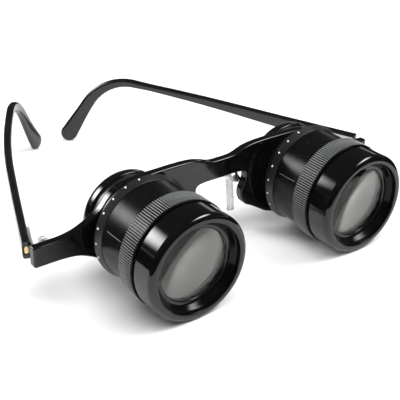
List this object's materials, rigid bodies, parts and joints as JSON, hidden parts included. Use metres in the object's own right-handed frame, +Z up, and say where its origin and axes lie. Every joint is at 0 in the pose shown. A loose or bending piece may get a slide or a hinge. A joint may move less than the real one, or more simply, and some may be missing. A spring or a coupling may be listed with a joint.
{
  "type": "binocular glasses",
  "caption": "Focusing telescopic spectacles: two short telescopes in a thin plate frame with folding temples and nose pads.",
  "frame": {"origin": "middle of the box round the part, on the surface that its bells and temple tips stand on", "axes": "+X to the right of the pictured front as seen from the wearer's eyes, +Y from the bells back to the ears, +Z up"},
  "size_m": [0.1354, 0.1506, 0.0355],
  "materials": {
    "frame_acetate": "polished black plate",
    "black_lacquer": "glossy black lacquer",
    "satin_black": "satin black",
    "eyecup_plastic": "smooth black",
    "optical_glass": "coated lens",
    "hinge_steel": "nickel silver",
    "temple_acetate": "black acetate",
    "core_metal": "cut end of the core",
    "arm_wire": "black wire",
    "pad_silicone": "clear pad"
  },
  "bodies": {
    "root": {"frame_front": "frame_acetate", "left_fixed_tube": "satin_black", "left_lock_ring": "satin_black", "left_index_ring": "satin_black", "left_eyecup": "eyecup_plastic", "left_eye_lens": "optical_glass", "left_eye_lens_ring": "satin_black", "left_focus_retainer": "satin_black", "left_hinge_front_leaf": "hinge_steel", "left_hinge_screw": "hinge_steel", "left_front_leaf_rivets": "hinge_steel", "left_nose_pad_arm": "arm_wire", "left_nose_pad_screw": "hinge_steel", "right_fixed_tube": "satin_black", "right_lock_ring": "satin_black", "right_index_ring": "satin_black", "right_eyecup": "eyecup_plastic", "right_eye_lens": "optical_glass", "right_eye_lens_ring": "satin_black", "right_focus_retainer": "satin_black", "right_hinge_front_leaf": "hinge_steel", "right_hinge_screw": "hinge_steel", "right_front_leaf_rivets": "hinge_steel", "right_nose_pad_arm": "arm_wire", "right_nose_pad_screw": "hinge_steel"},
    "left_focus_drive": {"left_focus_ring": "satin_black"},
    "left_objective_group": {"left_draw_tube": "satin_black", "left_guide_pin": "hinge_steel", "left_objective_bell": "black_lacquer", "left_objective_crown": "optical_glass", "left_objective_flint": "optical_glass", "left_objective_ring": "black_lacquer"},
    "left_temple_group": {"left_temple": "temple_acetate", "left_temple_core": "core_metal", "left_hinge_temple_leaf": "hinge_steel", "left_temple_leaf_rivets": "hinge_steel"},
    "left_pad_group": {"left_nose_pad": "pad_silicone"},
    "right_focus_drive": {"right_focus_ring": "satin_black"},
    "right_objective_group": {"right_draw_tube": "satin_black", "right_guide_pin": "hinge_steel", "right_objective_bell": "black_lacquer", "right_objective_crown": "optical_glass", "right_objective_flint": "optical_glass", "right_objective_ring": "black_lacquer"},
    "right_temple_group": {"right_temple": "temple_acetate", "right_temple_core": "core_metal", "right_hinge_temple_leaf": "hinge_steel", "right_temple_leaf_rivets": "hinge_steel"},
    "right_pad_group": {"right_nose_pad": "pad_silicone"}
  },
  "joints": [
    {"name": "left_focus_turn", "type": "hinge", "parent": "root", "child": "left_focus_drive", "pos_m": [-0.0325, -0.05717, 0.01784], "axis": [0, -0.9975, -0.0701], "range_deg": [-15, 135]},
    {"name": "left_objective_travel", "type": "slide", "parent": "root", "child": "left_objective_group", "axis": [0, -0.9975, -0.0701], "range_m": [-0.0005, 0.0045]},
    {"name": "left_temple_fold", "type": "hinge", "parent": "root", "child": "left_temple_group", "pos_m": [-0.0615, -0.03754, 0.01807], "axis": [-0.0698, 0.0699, -0.9951], "range_deg": [-20.5, 54.5]},
    {"name": "left_pad_rock", "type": "hinge", "parent": "root", "child": "left_pad_group", "pos_m": [-0.01131, -0.035, 0.01835], "axis": [-0.5446, 0.8366, 0.0588], "range_deg": [-12, 12]},
    {"name": "right_focus_turn", "type": "hinge", "parent": "root", "child": "right_focus_drive", "pos_m": [0.0325, -0.05717, 0.01784], "axis": [0, -0.9975, -0.0701], "range_deg": [-15, 135]},
    {"name": "right_objective_travel", "type": "slide", "parent": "root", "child": "right_objective_group", "axis": [0, -0.9975, -0.0701], "range_m": [-0.0005, 0.0045]},
    {"name": "right_temple_fold", "type": "hinge", "parent": "root", "child": "right_temple_group", "pos_m": [0.0615, -0.03754, 0.01807], "axis": [0.0698, -0.0699, 0.9951], "range_deg": [-20.5, 54.5]},
    {"name": "right_pad_rock", "type": "hinge", "parent": "root", "child": "right_pad_group", "pos_m": [0.01131, -0.035, 0.01835], "axis": [0.5446, 0.8366, 0.0588], "range_deg": [-12, 12]}
  ],
  "couplings": [
    {"joint": "left_objective_travel", "follows": "left_focus_turn", "m_per_rad": 0.0019099},
    {"joint": "right_objective_travel", "follows": "right_focus_turn", "m_per_rad": 0.0019099}
  ]
}
